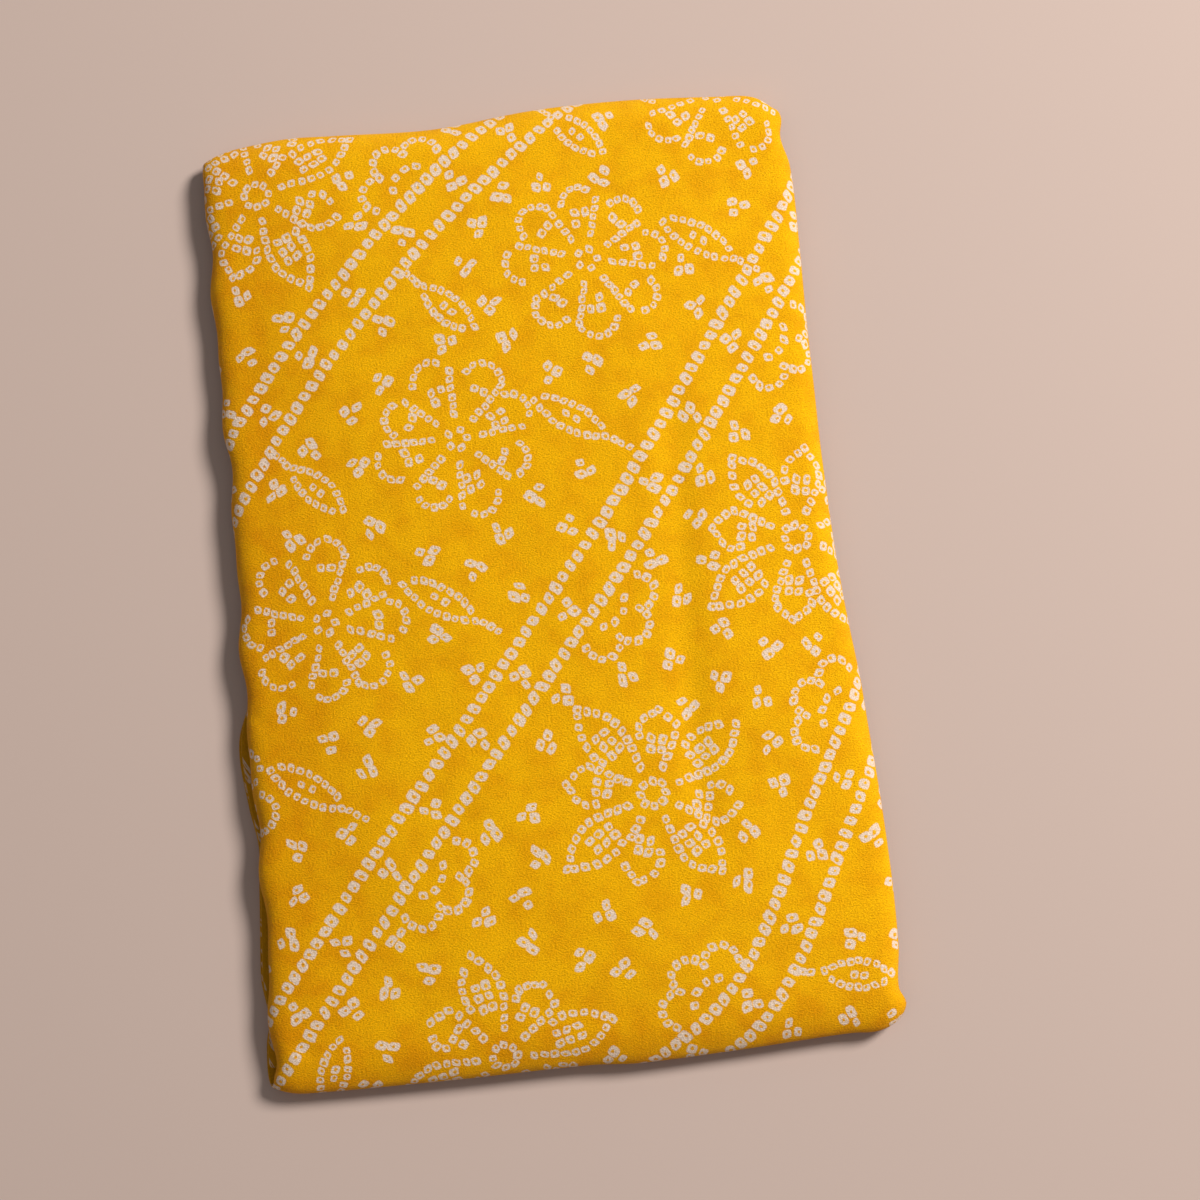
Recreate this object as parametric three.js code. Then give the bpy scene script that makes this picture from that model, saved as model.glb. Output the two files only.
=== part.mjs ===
// Folded length of printed crepe cloth: one strip, folded back and forth into a low stack.
// Millimetres, +Z up. +X runs across the strip, +Y along the stack, and the underside is at Z = 0.
// The section along the strip is swept across its width: five inner layers, a flat bottom layer,
// a wrap round the front, the printed top layer, and a wrap round the back that ends in a flap.
import * as THREE from 'three';

const THICKNESS = 1.0;
const STACK_WIDTH = 278;
const STACK_LENGTH = 440;

// Vertical distance from one layer to the next, at the sides, near both ends and in the middle
const PITCH = { side: 2.15, end: 2.3, middle: 3.35 };
const CROWN_SQUARENESS = { across: 2.6, along: 6 };

// How far the wraps reach along Y, and where the flap and the raw end stop, from the stack's end
const WRAP_REACH = 16;
const FLAP_INSET = 31;

// Edges of the top layer as seen from above: rows run along the edge named
const LEFT_EDGE = [
  { at: -220, out: -139.6 },
  { at: -190, out: -140.4 },
  { at: -150, out: -138.2 },
  { at: -60, out: -139.2 },
  { at: 0, out: -138.3 },
  { at: 60, out: -137.3 },
  { at: 130, out: -138.4 },
  { at: 200, out: -137.8 },
  { at: 220, out: -139.2 },
];
const RIGHT_EDGE = [
  { at: -220, out: 140.6 },
  { at: -210, out: 143.9 },
  { at: -201, out: 141.2 },
  { at: -182, out: 143.4 },
  { at: -130, out: 143.6 },
  { at: -62, out: 140.6 },
  { at: -18, out: 136.9 },
  { at: 40, out: 135.3 },
  { at: 108, out: 135.6 },
  { at: 150, out: 136.8 },
  { at: 184, out: 136.5 },
  { at: 198, out: 133.6 },
  { at: 210, out: 135.6 },
  { at: 221, out: 134.4 },
];
const FRONT_EDGE = [
  { at: -146, out: -217.2 },
  { at: -130, out: -219.4 },
  { at: -60, out: -220.5 },
  { at: 2, out: -220.4 },
  { at: 24, out: -221.8 },
  { at: 70, out: -220.6 },
  { at: 118, out: -218.6 },
  { at: 134, out: -219.4 },
  { at: 144, out: -215.5 },
];
const BACK_EDGE = [
  { at: -140, out: 216.6 },
  { at: -100, out: 221.2 },
  { at: -75, out: 220.4 },
  { at: -27, out: 218.6 },
  { at: 22, out: 223.0 },
  { at: 68, out: 223.4 },
  { at: 110, out: 220.9 },
  { at: 129, out: 219.2 },
  { at: 137, out: 215.0 },
];

// Layers from the bottom up. front and back are the distances from the stack's ends at which a
// layer turns or stops, left and right its insets from the top layer's edges, peek how much
// farther it sticks out on the left near the front, and droop how far its side edges hang.
const LAYERS = [
  { front: WRAP_REACH, back: 37, left: 3.0, right: 3.5, peek: 8.5, droop: 0 },
  { front: 13, back: 37, left: 4.0, right: 2.5, peek: 7.5, droop: 0.08 },
  { front: 13, back: 10, left: 3.0, right: 4.2, peek: 7.0, droop: 0.18 },
  { front: 13, back: 10, left: 4.4, right: 3.0, peek: 1.0, droop: 0.3 },
  { front: 13, back: 15, left: 3.6, right: 4.6, peek: 0, droop: 0.45 },
  { front: 21, back: 15, left: 5.0, right: 4.0, peek: 0, droop: 0.7 },
  { front: WRAP_REACH, back: WRAP_REACH, left: 0, right: 0, peek: 0, droop: 5.4 },
];
const TOP = LAYERS.length - 1;
const DROOP_REACH = 9;

// The inner layers show at the left from the front up to here, in and out along the way
const PEEK_SPAN = [
  { at: -222, out: 1.0 },
  { at: -196, out: 0.72 },
  { at: -186, out: 0.5 },
  { at: -166, out: 0.92 },
  { at: -130, out: 0.72 },
  { at: -108, out: 0.5 },
  { at: -90, out: 0.8 },
  { at: -60, out: 1.0 },
  { at: -32, out: 0 },
  { at: 222, out: 0 },
];

// Soft hollows and swells of the stack: centre, half widths, and change of the layer distance
const SWELLS = [
  { x: -130, y: 135, halfX: 26, halfY: 46, rise: -0.12 },
  { x: -80, y: -158, halfX: 34, halfY: 30, rise: -0.1 },
  { x: 60, y: 60, halfX: 46, halfY: 70, rise: 0.06 },
  { x: -30, y: 150, halfX: 50, halfY: 34, rise: 0.05 },
  { x: 112, y: -60, halfX: 30, halfY: 60, rise: 0.07 },
];

// Soft lengthwise crease of the top layer
const CREASE = { halfWidth: 8, depth: 1.3, start: 92, end: -142, fade: 34 };
const CREASE_LINE = [
  { at: -142, out: 69.5 },
  { at: -97, out: 62.5 },
  { at: -68, out: 62.1 },
  { at: 1, out: 65.6 },
  { at: 76, out: 69.6 },
  { at: 100, out: 71.0 },
];

// The bottom layer lies flat on a straight-sided patch and lifts off the ground by a hair round it.
// On the patch its rows and columns are straight, within the given share of its half width, and
// past it they turn wavy over a short way.
const GROUND_PATCH = { halfX: 119, front: -190, back: 172, share: 0.85, fade: 10 };
const GROUND_LIFT = { height: 0.25, reach: 9, levels: 3 };
const GROUND_TOUCH = 0.005;

// Uneven hang of the top layer's side edges, which fades down the wraps
const EDGE_WAVE = { height: 0.9, length: 118, fineHeight: 0.5, fineLength: 47 };
const CORNER_PULL = 3;
const CORNER_REACH = 16;

// How far a fold stands out past its layers' end, in parts of the layer distance
const FOLD_BULGE = 0.575;

// Lines of the mesh across the strip, as fractions of its half width
const ACROSS = [
  -1, -0.986, -0.965, -0.935, -0.85, -0.65, -0.4, -0.15, 0.12, 0.34, 0.42, 0.47, 0.52, 0.62, 0.85,
  0.935, 0.965, 0.986, 1,
];
const STEPS = { hidden: 8, showing: 13, top: 16, fold: 5, wrap: 9, flap: 2 };

// The strip's way through the stack, from its inner raw end to the end of the flap
const ROUTE = [
  { make: panel, layer: 5, from: 'front', to: 'back', steps: STEPS.hidden },
  { make: fold, layer: 5, to: 'back', steps: STEPS.fold },
  { make: panel, layer: 4, from: 'back', to: 'front', steps: STEPS.hidden },
  { make: fold, layer: 4, to: 'front', steps: STEPS.fold },
  { make: panel, layer: 3, from: 'front', to: 'back', steps: STEPS.hidden },
  { make: fold, layer: 3, to: 'back', steps: STEPS.fold },
  { make: panel, layer: 2, from: 'back', to: 'front', steps: STEPS.showing },
  { make: fold, layer: 2, to: 'front', steps: STEPS.fold },
  { make: panel, layer: 1, from: 'front', to: 'back', steps: STEPS.showing },
  { make: fold, layer: 1, to: 'back', steps: STEPS.fold },
  { make: panel, layer: 0, from: 'back', to: 'front', steps: STEPS.showing },
  { make: wrap, layer: 0, to: 'front', steps: STEPS.wrap },
  { make: panel, layer: TOP, from: 'front', to: 'back', steps: STEPS.top },
  { make: wrap, layer: TOP, to: 'back', steps: STEPS.wrap },
  { make: flap, layer: 0, to: 'back', steps: STEPS.flap },
];

const clamp = (value, low, high) => Math.min(high, Math.max(low, value));
const mix = (a, b, t) => a + (b - a) * t;

function smooth(t) {
  const s = clamp(t, 0, 1);
  return s * s * (3 - 2 * s);
}

// A smooth curve through the rows of an edge table, straight past its ends
function edgeAt(rows, at) {
  const last = rows.length - 1;
  const slope = (i) => {
    const a = rows[Math.max(i - 1, 0)];
    const b = rows[Math.min(i + 1, last)];
    return (b.out - a.out) / (b.at - a.at);
  };
  if (at <= rows[0].at) return rows[0].out;
  if (at >= rows[last].at) return rows[last].out;
  const i = rows.findIndex((row) => row.at > at) - 1;
  const span = rows[i + 1].at - rows[i].at;
  const t = (at - rows[i].at) / span;
  const bend = span * t * (1 - t) * ((1 - t) * slope(i) - t * slope(i + 1));
  const rise = t * t * (3 - 2 * t);
  return mix(rows[i].out, rows[i + 1].out, rise) + bend;
}

// A column of the layer table at a station, between two layers inside folds and wraps
function layerValue(column, station) {
  const { below, above, level } = station;
  const share = above > below ? (level - below) / (above - below) : 0;
  return mix(LAYERS[below][column], LAYERS[above][column], share);
}

function swellAt(x, y) {
  const lift = (s) => s.rise * Math.exp(-(((x - s.x) / s.halfX) ** 2) - ((y - s.y) / s.halfY) ** 2);
  return SWELLS.reduce((sum, s) => sum + lift(s), 0);
}

function pitchAt(x, y) {
  const across = 1 - Math.min(Math.abs((2 * x) / STACK_WIDTH), 1) ** CROWN_SQUARENESS.across;
  const along = 1 - Math.min(Math.abs((2 * y) / STACK_LENGTH), 1) ** CROWN_SQUARENESS.along;
  const crown = PITCH.end - PITCH.side + (PITCH.middle - PITCH.end) * along;
  return PITCH.side + across * crown + swellAt(x, y);
}

// 0 until a point is within reach of the edge and 1 at the edge: a quarter of an ellipse for the
// hanging side edges, and a parabola for the corners seen from above
function edgeFall(toEdge) {
  const q = clamp(1 - toEdge / DROOP_REACH, 0, 1);
  return 1 - Math.sqrt(1 - q * q);
}

const cornerFall = (toEdge) => clamp(1 - toEdge / CORNER_REACH, 0, 1) ** 2;

function creaseDepth(x, y) {
  const within = smooth((CREASE.start - y) / CREASE.fade) * smooth((y - CREASE.end) / CREASE.fade);
  const off = (x - edgeAt(CREASE_LINE, y)) / CREASE.halfWidth;
  return CREASE.depth * within * Math.exp(-off * off);
}

function edgeDroop(station, y) {
  const wave = EDGE_WAVE.height * Math.sin((2 * Math.PI * y) / EDGE_WAVE.length);
  const fine = EDGE_WAVE.fineHeight * Math.sin((2 * Math.PI * y) / EDGE_WAVE.fineLength + 1);
  const droop = layerValue('droop', station) + (wave + fine) * smooth(station.level - TOP + 1);
  return (droop * station.level) / TOP;
}

// Half circle of a fold or a wrap: how far it has turned, and how far out it stands
const turned = (t) => (1 - Math.cos(Math.PI * t)) / 2;
const standsOut = (t) => Math.sin(Math.PI * t);

// Stations along the strip. level is the height in layers, and below and above are the layers
// whose sizes it has, or lies between. at is how far it has come from the end named from to the
// end named to, and inset the distance inside an end.
function panel(piece, t) {
  const sizes = LAYERS[piece.layer];
  const ends = { from: piece.from, to: piece.to, start: sizes[piece.from], stop: sizes[piece.to] };
  return { level: piece.layer, below: piece.layer, above: piece.layer, at: turned(t), ...ends };
}

function fold(piece, t) {
  const lower = piece.layer - 1;
  const stop = LAYERS[lower][piece.to];
  const bulge = FOLD_BULGE * standsOut(t);
  return { level: piece.layer - turned(t), below: lower, above: piece.layer, to: piece.to, stop, bulge };
}

function wrap(piece, t) {
  const level = piece.layer === TOP ? TOP * (1 - turned(t)) : TOP * turned(t);
  const stop = WRAP_REACH * (1 - standsOut(t));
  return { level, below: 0, above: TOP, to: piece.to, stop, pull: CORNER_PULL * standsOut(t) };
}

function flap(piece, t) {
  return { level: 0, below: 0, above: 0, to: piece.to, stop: mix(WRAP_REACH, FLAP_INSET, t) };
}

// Folds and wraps lie between two panels, so they leave out their own first and last stations
function stationsOf(piece) {
  const between = piece.make === fold || piece.make === wrap;
  const made = [];
  for (let i = between ? 1 : 0; i <= piece.steps - (between ? 1 : 0); i++) {
    made.push(piece.make(piece, i / piece.steps));
  }
  return made;
}

const END_EDGE = { front: FRONT_EDGE, back: BACK_EDGE };
const INWARD = { front: 1, back: -1 };

const straightEnd = (end) => (-INWARD[end] * STACK_LENGTH) / 2;

// 0 on the bottom layer's flat patch, and 1 past it and on the layers above
function waviness(station, y) {
  const out = Math.max(GROUND_PATCH.front - y, y - GROUND_PATCH.back);
  return Math.max(smooth(station.level), smooth(out / GROUND_PATCH.fade));
}

// Place along the stack, between a station's two ends or inset from one
function placeAlong(station, endOf) {
  const stop = endOf(station.to) + INWARD[station.to] * station.stop;
  if (!station.from) return stop;
  return mix(endOf(station.from) + INWARD[station.from] * station.start, stop, station.at);
}

function sideX(station, side, y) {
  const inset = layerValue(side, station);
  if (side === 'right') return edgeAt(RIGHT_EDGE, y) - inset;
  return edgeAt(LEFT_EDGE, y) + inset - layerValue('peek', station) * edgeAt(PEEK_SPAN, y);
}

// Place across the strip between its two edges: an even spread, or on the flat patch straight
// lines with the edges' waves taken up outside the patch's share of the width
function placeAcross(across, left, right, wavy) {
  const nominal = (across * STACK_WIDTH) / 2;
  const past = clamp((Math.abs(across) - GROUND_PATCH.share) / (1 - GROUND_PATCH.share), 0, 1);
  const wave = across < 0 ? left + STACK_WIDTH / 2 : right - STACK_WIDTH / 2;
  return mix(nominal + past * wave, mix(left, right, (across + 1) / 2), wavy);
}

function groundLift(station, x, y) {
  const { halfX, front, back } = GROUND_PATCH;
  const out = clamp(Math.max(Math.abs(x) - halfX, front - y, y - back) / GROUND_LIFT.reach, 0, 1);
  return GROUND_LIFT.height * out * (1 - smooth(station.level / GROUND_LIFT.levels));
}

// The middle of the cloth at a station, for a fraction of the strip's half width
function clothPoint(station, across) {
  const nominalX = (across * STACK_WIDTH) / 2;
  const straightY = placeAlong(station, straightEnd);
  const wavy = waviness(station, straightY);
  const wavyY = placeAlong(station, (end) => edgeAt(END_EDGE[end], nominalX));
  let y = mix(straightY, wavyY, wavy);
  const left = sideX(station, 'left', y);
  const right = sideX(station, 'right', y);
  const x = placeAcross(across, left, right, wavy);
  const toEdge = Math.min(x - left, right - x);
  const pitch = pitchAt(x, y);
  if (station.bulge) y -= INWARD[station.to] * station.bulge * pitch;
  if (station.pull) y += INWARD[station.to] * station.pull * cornerFall(toEdge);
  const hang = edgeDroop(station, y) * edgeFall(toEdge);
  const trough = creaseDepth(x, y) * smooth(station.level - TOP + 1);
  const z = THICKNESS / 2 + station.level * pitch - hang - trough + groundLift(station, x, y);
  return new THREE.Vector3(x, y, z);
}

// Normals of the grid of middle points, from its neighbours along and across the strip
function clothNormal(grid, i, j) {
  const along = grid[Math.min(i + 1, grid.length - 1)][j].clone();
  along.sub(grid[Math.max(i - 1, 0)][j]);
  const row = grid[i];
  const across = row[Math.min(j + 1, row.length - 1)].clone().sub(row[Math.max(j - 1, 0)]);
  return across.cross(along).normalize();
}

function addFace(index, a, b, c, d) {
  index.push(a, b, c, a, c, d);
}

// Both faces of the cloth, half its thickness from the middle, and the rim between them
function sheetGeometry(grid) {
  const rows = grid.length;
  const columns = grid[0].length;
  const positions = [];
  for (const side of [1, -1]) {
    for (let i = 0; i < rows; i++) {
      for (let j = 0; j < columns; j++) {
        const normal = clothNormal(grid, i, j);
        const point = grid[i][j].clone().addScaledVector(normal, (side * THICKNESS) / 2);
        positions.push(point.x, point.y, point.z < GROUND_TOUCH ? 0 : point.z);
      }
    }
  }
  const up = (i, j) => i * columns + j;
  const down = (i, j) => rows * columns + i * columns + j;
  const index = [];
  for (let i = 0; i < rows - 1; i++) {
    for (let j = 0; j < columns - 1; j++) {
      addFace(index, up(i, j), up(i, j + 1), up(i + 1, j + 1), up(i + 1, j));
      addFace(index, down(i, j), down(i + 1, j), down(i + 1, j + 1), down(i, j + 1));
    }
    const last = columns - 1;
    addFace(index, up(i, 0), up(i + 1, 0), down(i + 1, 0), down(i, 0));
    addFace(index, up(i + 1, last), up(i, last), down(i, last), down(i + 1, last));
  }
  for (let j = 0; j < columns - 1; j++) {
    const last = rows - 1;
    addFace(index, up(0, j + 1), up(0, j), down(0, j), down(0, j + 1));
    addFace(index, up(last, j), up(last, j + 1), down(last, j + 1), down(last, j));
  }
  const geometry = new THREE.BufferGeometry();
  geometry.setAttribute('position', new THREE.Float32BufferAttribute(positions, 3));
  geometry.setIndex(index);
  return geometry;
}

// Moves the geometry so that the middle of its box is over the origin, on Z = 0
function centred(geometry) {
  geometry.computeBoundingBox();
  const centre = geometry.boundingBox.getCenter(new THREE.Vector3());
  geometry.translate(-centre.x, -centre.y, -geometry.boundingBox.min.z);
  geometry.computeVertexNormals();
  return geometry;
}

function foldedCloth() {
  const stations = ROUTE.flatMap(stationsOf);
  const grid = stations.map((station) => ACROSS.map((across) => clothPoint(station, across)));
  const material = new THREE.MeshStandardMaterial({
    color: 0xeca805,
    roughness: 0.75,
    metalness: 0,
  });
  const mesh = new THREE.Mesh(centred(sheetGeometry(grid)), material);
  mesh.name = 'folded_cloth';
  return mesh;
}

const part = new THREE.Group();
part.add(foldedCloth());

export default part;
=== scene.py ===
import math
import random

import bpy
import numpy as np
from mathutils import Matrix, Vector, kdtree


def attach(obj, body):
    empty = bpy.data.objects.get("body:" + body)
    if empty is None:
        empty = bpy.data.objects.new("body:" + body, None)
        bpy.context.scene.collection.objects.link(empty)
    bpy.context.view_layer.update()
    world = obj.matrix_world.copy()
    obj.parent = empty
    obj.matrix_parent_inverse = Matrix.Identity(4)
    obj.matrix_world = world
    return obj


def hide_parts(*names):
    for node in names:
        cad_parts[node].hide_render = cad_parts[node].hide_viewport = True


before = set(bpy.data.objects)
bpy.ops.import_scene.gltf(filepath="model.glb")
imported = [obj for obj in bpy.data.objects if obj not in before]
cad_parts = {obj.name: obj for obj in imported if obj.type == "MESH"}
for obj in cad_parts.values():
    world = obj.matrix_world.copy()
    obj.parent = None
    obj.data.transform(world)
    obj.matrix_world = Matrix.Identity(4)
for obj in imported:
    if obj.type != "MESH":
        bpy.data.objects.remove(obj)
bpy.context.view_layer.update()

MM = 0.001

# Shape of the stack: the same named sizes as its solid
THICKNESS = 1.0
STACK_WIDTH = 278.0
STACK_LENGTH = 440.0
PITCH = {"side": 2.15, "end": 2.3, "middle": 3.35}
CROWN_SQUARENESS = {"across": 2.6, "along": 6}
WRAP_REACH = 16.0
FLAP_INSET = 31.0
DROOP_REACH = 9.0
CORNER_PULL = 3.0
CORNER_REACH = 16.0
FOLD_BULGE = 0.575
EDGE_WAVE = {"height": 0.9, "length": 118.0, "fine_height": 0.5, "fine_length": 47.0}
CREASE = {"half_width": 8.0, "depth": 1.3, "start": 92.0, "end": -142.0, "fade": 34.0}
GROUND_PATCH = {"half_x": 119.0, "front": -190.0, "back": 172.0, "share": 0.85, "fade": 10.0}
GROUND_LIFT = {"height": 0.25, "reach": 9.0, "levels": 3}

# Edges of the top layer as seen from above: place along the edge, and how far out it is
LEFT_EDGE = [
    (-220, -139.6), (-190, -140.4), (-150, -138.2), (-60, -139.2), (0, -138.3),
    (60, -137.3), (130, -138.4), (200, -137.8), (220, -139.2),
]
RIGHT_EDGE = [
    (-220, 140.6), (-210, 143.9), (-201, 141.2), (-182, 143.4), (-130, 143.6),
    (-62, 140.6), (-18, 136.9), (40, 135.3), (108, 135.6), (150, 136.8),
    (184, 136.5), (198, 133.6), (210, 135.6), (221, 134.4),
]
FRONT_EDGE = [
    (-146, -217.2), (-130, -219.4), (-60, -220.5), (2, -220.4), (24, -221.8),
    (70, -220.6), (118, -218.6), (134, -219.4), (144, -215.5),
]
BACK_EDGE = [
    (-140, 216.6), (-100, 221.2), (-75, 220.4), (-27, 218.6), (22, 223.0),
    (68, 223.4), (110, 220.9), (129, 219.2), (137, 215.0),
]
CREASE_LINE = [(-142, 69.5), (-97, 62.5), (-68, 62.1), (1, 65.6), (76, 69.6), (100, 71.0)]
PEEK_SPAN = [
    (-222, 1.0), (-196, 0.72), (-186, 0.5), (-166, 0.92), (-130, 0.72), (-108, 0.5),
    (-90, 0.8), (-60, 1.0), (-32, 0.0), (222, 0.0),
]

# Small waves of the top layer's left edge: length, reach, phase
LEFT_WAVES = [(54.0, 0.8, 0.4), (34.0, 0.6, 1.9)]

# Layers from the bottom up
LAYER_COLUMNS = ("front", "back", "left", "right", "peek", "droop")
LAYERS = [
    (WRAP_REACH, 37, 3.0, 3.5, 8.5, 0.0),
    (13, 37, 4.0, 2.5, 7.5, 0.08),
    (13, 10, 3.0, 4.2, 7.0, 0.18),
    (13, 10, 4.4, 3.0, 1.0, 0.3),
    (13, 15, 3.6, 4.6, 0.0, 0.45),
    (21, 15, 5.0, 4.0, 0.0, 0.7),
    (WRAP_REACH, WRAP_REACH, 0.0, 0.0, 0.0, 5.4),
]
TOP = len(LAYERS) - 1

# Soft hollows and swells: centre, half widths, change of the layer distance
SWELLS = [
    (-130, 135, 26, 46, -0.12), (-80, -158, 34, 30, -0.1), (60, 60, 46, 70, 0.06),
    (-30, 150, 50, 34, 0.05), (112, -60, 30, 60, 0.07),
]

# Small creases pressed into the top layer: two ends, half width and depth
PINCHES = [
    {"ends": ((2, -210), (20, -224)), "half_width": 1.6, "depth": 0.55},
    {"ends": ((62, -211), (86, -216)), "half_width": 1.4, "depth": 0.45},
    {"ends": ((-13, -118), (16, -121)), "half_width": 1.1, "depth": 0.3},
    {"ends": ((-68, -112), (-68, -124)), "half_width": 1.1, "depth": 0.3},
    {"ends": ((101, 187), (121, 185)), "half_width": 1.3, "depth": 0.4},
    {"ends": ((133, -84), (141, -86)), "half_width": 1.3, "depth": 0.5},
    {"ends": ((-134, -196), (-118, -205)), "half_width": 2.4, "depth": 0.6},
    {"ends": ((-137, -46), (-128, -58)), "half_width": 2.2, "depth": 0.6},
]

# Faint unevenness of the top layer: direction, wave length, height
RIPPLES = [
    (0.5, 61.0, 0.16), (2.1, 44.0, 0.11), (1.2, 29.0, 0.07), (2.8, 19.5, 0.045), (0.1, 13.0, 0.03),
]

# Rows of the mesh along each stretch, and columns across it
STEPS = {"hidden": 56, "showing": 110, "ground": 118, "top": 190, "fold": 8, "wrap": 24, "flap": 6}
EDGE_COLUMNS = [0.925, 0.942, 0.957, 0.97, 0.981, 0.99, 0.996, 1.0]
FINE_COLUMNS = 109
FINE_REACH = 0.91
CREASE_COLUMNS = [0.38, 0.42, 0.45, 0.48, 0.51, 0.55]
INNER_COLUMNS = [0.0, 0.15, 0.3, 0.45, 0.62, 0.76, 0.85]


def clamp01(value):
    return np.clip(value, 0.0, 1.0)


def mix(a, b, t):
    return a + (b - a) * t


def smooth(t):
    s = clamp01(t)
    return s * s * (3 - 2 * s)


def edge_at(rows, at):
    """A smooth curve through the rows of an edge table, straight past its ends."""
    places, outs = np.array(rows, float).T
    low = np.maximum(np.arange(len(rows)) - 1, 0)
    high = np.minimum(np.arange(len(rows)) + 1, len(rows) - 1)
    slopes = (outs[high] - outs[low]) / (places[high] - places[low])
    at = np.clip(np.asarray(at, float), places[0], places[-1])
    i = np.clip(np.searchsorted(places, at, side="right") - 1, 0, len(rows) - 2)
    span = places[i + 1] - places[i]
    t = (at - places[i]) / span
    bend = span * t * (1 - t) * ((1 - t) * slopes[i] - t * slopes[i + 1])
    return mix(outs[i], outs[i + 1], t * t * (3 - 2 * t)) + bend


def layer_size(layer, column):
    return LAYERS[layer][LAYER_COLUMNS.index(column)]


def layer_value(column, station):
    """A column of the layer table at a station, between two layers inside folds and wraps."""
    below, above, level = station["below"], station["above"], station["level"]
    share = (level - below) / (above - below) if above > below else 0.0
    return mix(layer_size(below, column), layer_size(above, column), share)


def pitch_at(x, y):
    across = 1 - np.minimum(np.abs(2 * x / STACK_WIDTH), 1) ** CROWN_SQUARENESS["across"]
    along = 1 - np.minimum(np.abs(2 * y / STACK_LENGTH), 1) ** CROWN_SQUARENESS["along"]
    crown = PITCH["end"] - PITCH["side"] + (PITCH["middle"] - PITCH["end"]) * along
    pitch = PITCH["side"] + across * crown
    for sx, sy, half_x, half_y, rise in SWELLS:
        pitch = pitch + rise * np.exp(-(((x - sx) / half_x) ** 2) - ((y - sy) / half_y) ** 2)
    return pitch


def edge_fall(to_edge):
    """0 until a point is within reach of the side edge and 1 at the edge: a quarter ellipse."""
    q = clamp01(1 - to_edge / DROOP_REACH)
    return 1 - np.sqrt(1 - q * q)


def crease_depth(x, y):
    within = smooth((CREASE["start"] - y) / CREASE["fade"])
    within = within * smooth((y - CREASE["end"]) / CREASE["fade"])
    off = (x - edge_at(CREASE_LINE, y)) / CREASE["half_width"]
    return CREASE["depth"] * within * np.exp(-off * off)


def pinch_depth(x, y):
    depth = np.zeros_like(x)
    for pinch in PINCHES:
        (ax, ay), (bx, by) = pinch["ends"]
        length = math.hypot(bx - ax, by - ay)
        ux, uy = (bx - ax) / length, (by - ay) / length
        along = ((x - ax) * ux + (y - ay) * uy) / length
        off = ((y - ay) * ux - (x - ax) * uy) / pinch["half_width"]
        within = smooth(along / 0.3) * smooth((1 - along) / 0.3)
        depth = depth + pinch["depth"] * within * np.exp(-off * off)
    return depth


def ripple_height(x, y):
    height = np.zeros_like(x)
    for k, (direction, length, rise) in enumerate(RIPPLES):
        along = x * math.cos(direction) + y * math.sin(direction)
        bend = 0.35 * length * np.sin((x * math.sin(direction) - y * math.cos(direction)) / length)
        height = height + rise * np.sin(2 * math.pi * (along + bend) / length + 2.4 * k)
    return height


def edge_droop(station, y):
    wave = EDGE_WAVE["height"] * np.sin(2 * math.pi * y / EDGE_WAVE["length"])
    fine = EDGE_WAVE["fine_height"] * np.sin(2 * math.pi * y / EDGE_WAVE["fine_length"] + 1)
    top_share = smooth(station["level"] - TOP + 1)
    return (layer_value("droop", station) + (wave + fine) * top_share) * station["level"] / TOP


# Stations along the strip. level is the height in layers, below and above the layers whose sizes
# it has, and at how far it has come from the end named from_end to the end named to.
def panel(piece, t):
    ends = {"from_end": piece["from_end"], "to": piece["to"]}
    layer = piece["layer"]
    start, stop = layer_size(layer, piece["from_end"]), layer_size(layer, piece["to"])
    return {"level": layer, "below": layer, "above": layer, "at": t, "start": start, "stop": stop, **ends}


def turned(t):
    return (1 - math.cos(math.pi * t)) / 2


def fold(piece, t):
    layer, to = piece["layer"], piece["to"]
    return {
        "level": layer - turned(t), "below": layer - 1, "above": layer, "to": to,
        "stop": layer_size(layer - 1, to), "bulge": FOLD_BULGE * math.sin(math.pi * t),
    }


def wrap(piece, t):
    level = TOP * (1 - turned(t)) if piece["layer"] == TOP else TOP * turned(t)
    out = math.sin(math.pi * t)
    return {
        "level": level, "below": 0, "above": TOP, "to": piece["to"],
        "stop": WRAP_REACH * (1 - out), "pull": CORNER_PULL * out,
    }


def flap(piece, t):
    stop = mix(WRAP_REACH, FLAP_INSET, t)
    return {"level": 0, "below": 0, "above": 0, "to": piece["to"], "stop": stop}


def stretch(make, layer, to, steps, group, from_end=None):
    """The stations of one stretch. A fold or wrap leaves out its first and last ones."""
    piece = {"layer": layer, "to": to, "from_end": from_end}
    between = make in (fold, wrap)
    first, last = (1, steps - 1) if between else (0, steps)
    stations = [make(piece, i / steps) for i in range(first, last + 1)]
    for station in stations:
        station["group"] = group
    return stations


def strip_stations():
    """All stations, from the inner raw end to the end of the flap. group names the stretch."""
    rows = []
    ends = ["front", "back"]
    for layer in range(TOP - 1, 0, -1):
        steps = STEPS["showing"] if layer <= 2 else STEPS["hidden"]
        rows += stretch(panel, layer, ends[1], steps, "core", from_end=ends[0])
        rows += stretch(fold, layer, ends[1], STEPS["fold"], "core")
        ends.reverse()
    rows += stretch(panel, 0, "front", STEPS["ground"], "ground", from_end="back")
    rows += stretch(wrap, 0, "front", STEPS["wrap"], "top")
    rows += stretch(panel, TOP, "back", STEPS["top"], "top", from_end="front")
    rows += stretch(wrap, TOP, "back", STEPS["wrap"], "top")
    rows += stretch(flap, 0, "back", STEPS["flap"], "top")
    return rows


END_EDGE = {"front": FRONT_EDGE, "back": BACK_EDGE}
INWARD = {"front": 1, "back": -1}


def straight_end(end):
    return -INWARD[end] * STACK_LENGTH / 2


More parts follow.
